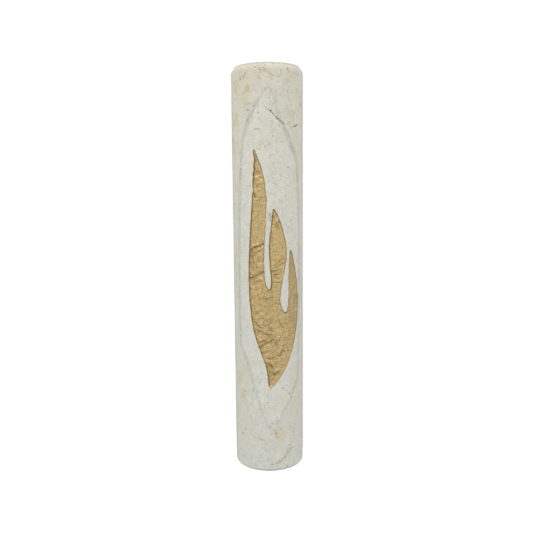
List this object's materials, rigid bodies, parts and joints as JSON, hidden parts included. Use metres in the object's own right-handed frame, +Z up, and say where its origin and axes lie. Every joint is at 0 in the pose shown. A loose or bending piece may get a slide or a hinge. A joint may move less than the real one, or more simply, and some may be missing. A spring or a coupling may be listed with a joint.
{
  "type": "mezuzah case",
  "caption": "Upright half-round limestone case with a recessed gilded emblem of flames, a bored chamber for a sleeved scroll, an end stopper and adhesive pads on its back.",
  "frame": {"origin": "on the plane where the case meets the doorpost, which is the outer face of the release liners, midway across the width and midway up the stone", "axes": "+Z up the doorpost, +Y into the doorpost, so the rounded front faces -Y; +X to the right of a person who faces the case"},
  "size_m": [0.0228, 0.0171, 0.125],
  "materials": {
    "limestone": "honed natural stone",
    "gilt": "satin",
    "silicone": "satin",
    "clear_film": "gloss",
    "parchment": "matte",
    "foam": "matte",
    "liner_paper": "satin"
  },
  "bodies": {
    "case": {"stone_body": "limestone", "gilded_flame_inlay": "gilt", "upper_adhesive_pad": "foam", "lower_adhesive_pad": "foam"},
    "stopper": {"bottom_stopper": "silicone"},
    "sleeve": {"scroll_sleeve": "clear_film"},
    "scroll": {"parchment_scroll": "parchment"},
    "upper_liner": {"upper_release_liner": "liner_paper"},
    "lower_liner": {"lower_release_liner": "liner_paper"}
  },
  "joints": [
    {"name": "stopper_pull", "type": "slide", "parent": "case", "child": "stopper", "axis": [0, 0, -1], "range_m": [0, 0.225]},
    {"name": "sleeve_slide", "type": "slide", "parent": "case", "child": "sleeve", "axis": [0, 0, -1], "range_m": [0, 0.1125]},
    {"name": "scroll_slide", "type": "slide", "parent": "sleeve", "child": "scroll", "axis": [0, 0, -1], "range_m": [0, 0.1035]},
    {"name": "upper_liner_peel", "type": "slide", "parent": "case", "child": "upper_liner", "axis": [0, 1, 0], "range_m": [0, 0.02]},
    {"name": "lower_liner_peel", "type": "slide", "parent": "case", "child": "lower_liner", "axis": [0, 1, 0], "range_m": [0, 0.02]}
  ],
  "couplings": [
    {"joint": "sleeve_slide", "follows": "stopper_pull", "ratio": 0.5},
    {"joint": "scroll_slide", "follows": "stopper_pull", "ratio": 0.46}
  ]
}
